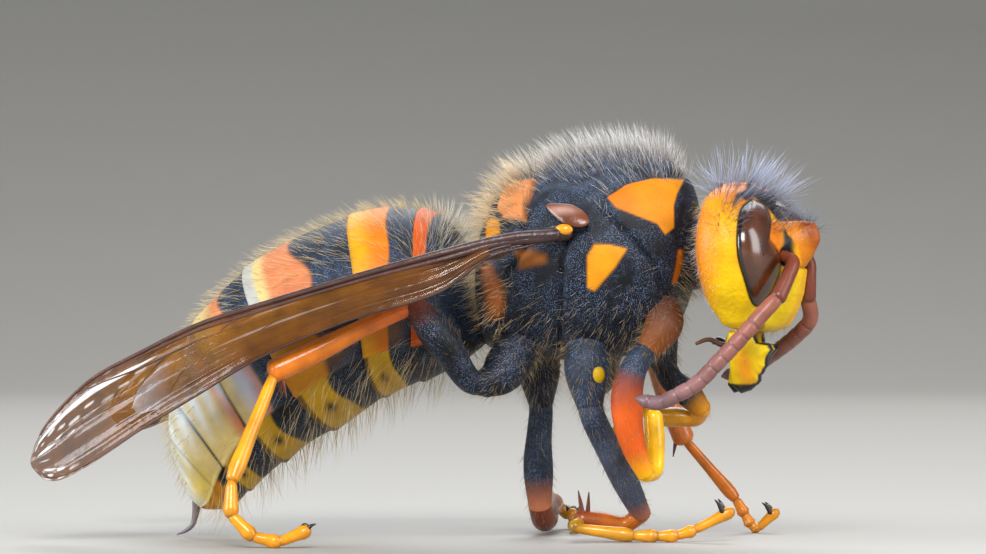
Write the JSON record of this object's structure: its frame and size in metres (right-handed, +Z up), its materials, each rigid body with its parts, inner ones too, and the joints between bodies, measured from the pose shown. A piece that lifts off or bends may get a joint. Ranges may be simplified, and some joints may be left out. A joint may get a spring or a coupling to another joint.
{
  "type": "yellow hornet queen, life-size still model",
  "caption": "Life-size still model of a queen yellow hornet standing with folded wings, its head turned a little and its sting touching the floor.",
  "frame": {"origin": "middle of the model's box, on the floor", "axes": "+X forward to the head, +Y to the insect's left, +Z up"},
  "size_m": [0.028, 0.0174, 0.0139],
  "materials": {
    "compound_eye": "deep brown, glassy, with a dark rim",
    "wing_membrane": "amber, see-through, glossy, with darker veins",
    "yellow_face": "yellow shading to orange at the back, satin, finely pitted",
    "feeler": "dusky pink to red brown, finely downy",
    "red_brown_horn": "red brown, polished",
    "gaster_shell": "black bands and orange to yellow bands, satin, downy",
    "orange_leg": "orange to amber, polished, with fine bristles",
    "black_shell": "black with a blue grey bloom, finely pitted, hairy"
  },
  "bodies": {
    "root": {"head": "yellow_face", "eye_right": "compound_eye", "eye_left": "compound_eye", "clypeus": "yellow_face", "mandible_right": "yellow_face", "mandible_left": "yellow_face", "labium": "red_brown_horn", "antenna_scape_right": "feeler", "antenna_flagellum_right": "feeler", "antenna_scape_left": "feeler", "antenna_flagellum_left": "feeler", "pronotum": "black_shell", "mesothorax": "black_shell", "scutellum": "black_shell", "propodeum": "black_shell", "neck": "black_shell", "tegula_right": "red_brown_horn", "tegula_left": "red_brown_horn", "gaster_segment_1": "gaster_shell", "gaster_segment_2": "gaster_shell", "gaster_segment_3": "gaster_shell", "gaster_segment_4": "gaster_shell", "gaster_segment_5": "gaster_shell", "gaster_segment_6": "gaster_shell", "sting": "red_brown_horn", "forewing_right": "wing_membrane", "forewing_left": "wing_membrane", "hindwing_right": "wing_membrane", "hindwing_left": "wing_membrane", "coxa_hind_right": "black_shell", "femur_hind_right": "black_shell", "tibia_hind_right": "orange_leg", "tarsus_hind_right": "orange_leg", "coxa_middle_right": "black_shell", "femur_middle_right": "black_shell", "tibia_middle_right": "orange_leg", "tarsus_middle_right": "orange_leg", "coxa_front_right": "black_shell", "femur_front_right": "black_shell", "tibia_front_right": "orange_leg", "tarsus_front_right": "orange_leg", "coxa_front_left": "black_shell", "femur_front_left": "black_shell", "tibia_front_left": "orange_leg", "tarsus_front_left": "orange_leg", "coxa_middle_left": "black_shell", "femur_middle_left": "black_shell", "tibia_middle_left": "orange_leg", "tarsus_middle_left": "orange_leg", "coxa_hind_left": "black_shell", "femur_hind_left": "black_shell", "tibia_hind_left": "orange_leg", "tarsus_hind_left": "orange_leg"}
  },
  "joints": []
}
